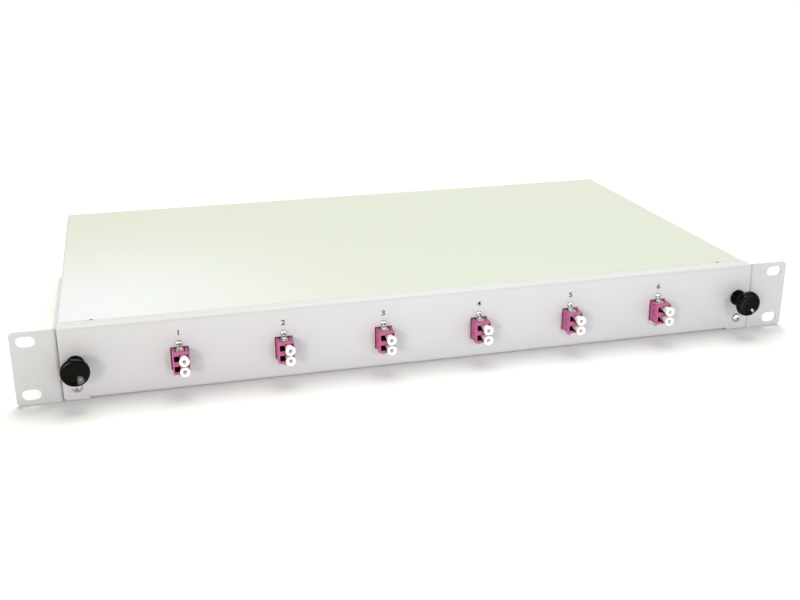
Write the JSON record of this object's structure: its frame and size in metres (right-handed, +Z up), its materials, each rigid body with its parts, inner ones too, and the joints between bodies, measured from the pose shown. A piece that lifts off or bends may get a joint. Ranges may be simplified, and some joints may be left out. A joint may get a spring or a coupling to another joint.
{
  "type": "fibre splice box",
  "caption": "Slide-out fibre splice box for a 19-inch rack, one unit high: folded sheet housing, drawer with capped duplex adapters, push-pull latch knobs, splice cassette and rear cable gland",
  "frame": {"origin": "centre of the four rack slots in the ears, on the rear face of the ears, which seats against the rack rails", "axes": "+X to the right seen from the front, +Y back into the rack, +Z up"},
  "size_m": [0.482, 0.2834, 0.0436],
  "materials": {
    "powder_coat": "light grey powder coat, fine orange peel, satin",
    "zinc_sheet": "zinc coated sheet, dull",
    "zinc_fastener": "zinc plated, semi bright",
    "nickel_fastener": "nickel plated, bright",
    "spring_steel": "stainless spring strip",
    "adapter_plastic": "heather violet moulding, satin",
    "ceramic": "white zirconia, polished",
    "cap_plastic": "translucent white moulding, satin",
    "knob_plastic": "black nylon, semi gloss",
    "glide_plastic": "natural nylon, matt",
    "cassette_plastic": "light grey moulding, satin",
    "lid_plastic": "clear smoke grey moulding, polished",
    "thumb_screw_plastic": "black moulding, satin",
    "gland_plastic": "mid grey polyamide, satin",
    "seal_rubber": "black rubber, matt"
  },
  "bodies": {
    "housing": {"base_pan": "powder_coat", "top_cover": "powder_coat", "ear_left": "powder_coat", "ear_right": "powder_coat", "guide_rail_left": "zinc_sheet", "guide_rail_right": "zinc_sheet", "ear_screws": "zinc_fastener", "ear_nuts": "zinc_fastener", "cover_screws": "zinc_fastener", "gland_body": "gland_plastic", "gland_seal": "seal_rubber", "gland_nut": "gland_plastic", "entry_locknuts": "gland_plastic", "blanking_plug": "gland_plastic"},
    "drawer": {"tray": "zinc_sheet", "front_panel": "powder_coat", "panel_screws": "zinc_fastener", "glide_left": "glide_plastic", "glide_right": "glide_plastic", "latch_grommet_left": "knob_plastic", "latch_grommet_right": "knob_plastic", "adapter_1": "adapter_plastic", "adapter_2": "adapter_plastic", "adapter_3": "adapter_plastic", "adapter_4": "adapter_plastic", "adapter_5": "adapter_plastic", "adapter_6": "adapter_plastic", "adapter_clips": "spring_steel", "adapter_screws": "nickel_fastener", "adapter_nuts": "nickel_fastener", "alignment_sleeves": "ceramic", "rear_dust_caps": "cap_plastic", "splice_cassette": "cassette_plastic", "cassette_screws": "thumb_screw_plastic", "splice_comb": "cassette_plastic", "fibre_hoops": "cassette_plastic"},
    "left_knob": {"latch_knob_left": "knob_plastic"},
    "right_knob": {"latch_knob_right": "knob_plastic"},
    "lid": {"cassette_lid": "lid_plastic"},
    "cap_1_lower": {"port_cap_1_lower": "cap_plastic"},
    "cap_1_upper": {"port_cap_1_upper": "cap_plastic"},
    "cap_2_lower": {"port_cap_2_lower": "cap_plastic"},
    "cap_2_upper": {"port_cap_2_upper": "cap_plastic"},
    "cap_3_lower": {"port_cap_3_lower": "cap_plastic"},
    "cap_3_upper": {"port_cap_3_upper": "cap_plastic"},
    "cap_4_lower": {"port_cap_4_lower": "cap_plastic"},
    "cap_4_upper": {"port_cap_4_upper": "cap_plastic"},
    "cap_5_lower": {"port_cap_5_lower": "cap_plastic"},
    "cap_5_upper": {"port_cap_5_upper": "cap_plastic"},
    "cap_6_lower": {"port_cap_6_lower": "cap_plastic"},
    "cap_6_upper": {"port_cap_6_upper": "cap_plastic"}
  },
  "joints": [
    {"name": "drawer_slide", "type": "slide", "parent": "housing", "child": "drawer", "axis": [0, -1, 0], "range_m": [0, 0.16]},
    {"name": "knob_pull_left", "type": "slide", "parent": "drawer", "child": "left_knob", "axis": [0, -1, 0], "range_m": [0, 0.006]},
    {"name": "knob_pull_right", "type": "slide", "parent": "drawer", "child": "right_knob", "axis": [0, -1, 0], "range_m": [0, 0.006]},
    {"name": "lid_lift", "type": "slide", "parent": "drawer", "child": "lid", "axis": [0, 0, 1], "range_m": [0, 0.012]},
    {"name": "port_cap_pull_1_lower", "type": "slide", "parent": "drawer", "child": "cap_1_lower", "axis": [0, -1, 0], "range_m": [0, 0.012]},
    {"name": "port_cap_pull_1_upper", "type": "slide", "parent": "drawer", "child": "cap_1_upper", "axis": [0, -1, 0], "range_m": [0, 0.012]},
    {"name": "port_cap_pull_2_lower", "type": "slide", "parent": "drawer", "child": "cap_2_lower", "axis": [0, -1, 0], "range_m": [0, 0.012]},
    {"name": "port_cap_pull_2_upper", "type": "slide", "parent": "drawer", "child": "cap_2_upper", "axis": [0, -1, 0], "range_m": [0, 0.012]},
    {"name": "port_cap_pull_3_lower", "type": "slide", "parent": "drawer", "child": "cap_3_lower", "axis": [0, -1, 0], "range_m": [0, 0.012]},
    {"name": "port_cap_pull_3_upper", "type": "slide", "parent": "drawer", "child": "cap_3_upper", "axis": [0, -1, 0], "range_m": [0, 0.012]},
    {"name": "port_cap_pull_4_lower", "type": "slide", "parent": "drawer", "child": "cap_4_lower", "axis": [0, -1, 0], "range_m": [0, 0.012]},
    {"name": "port_cap_pull_4_upper", "type": "slide", "parent": "drawer", "child": "cap_4_upper", "axis": [0, -1, 0], "range_m": [0, 0.012]},
    {"name": "port_cap_pull_5_lower", "type": "slide", "parent": "drawer", "child": "cap_5_lower", "axis": [0, -1, 0], "range_m": [0, 0.012]},
    {"name": "port_cap_pull_5_upper", "type": "slide", "parent": "drawer", "child": "cap_5_upper", "axis": [0, -1, 0], "range_m": [0, 0.012]},
    {"name": "port_cap_pull_6_lower", "type": "slide", "parent": "drawer", "child": "cap_6_lower", "axis": [0, -1, 0], "range_m": [0, 0.012]},
    {"name": "port_cap_pull_6_upper", "type": "slide", "parent": "drawer", "child": "cap_6_upper", "axis": [0, -1, 0], "range_m": [0, 0.012]}
  ]
}
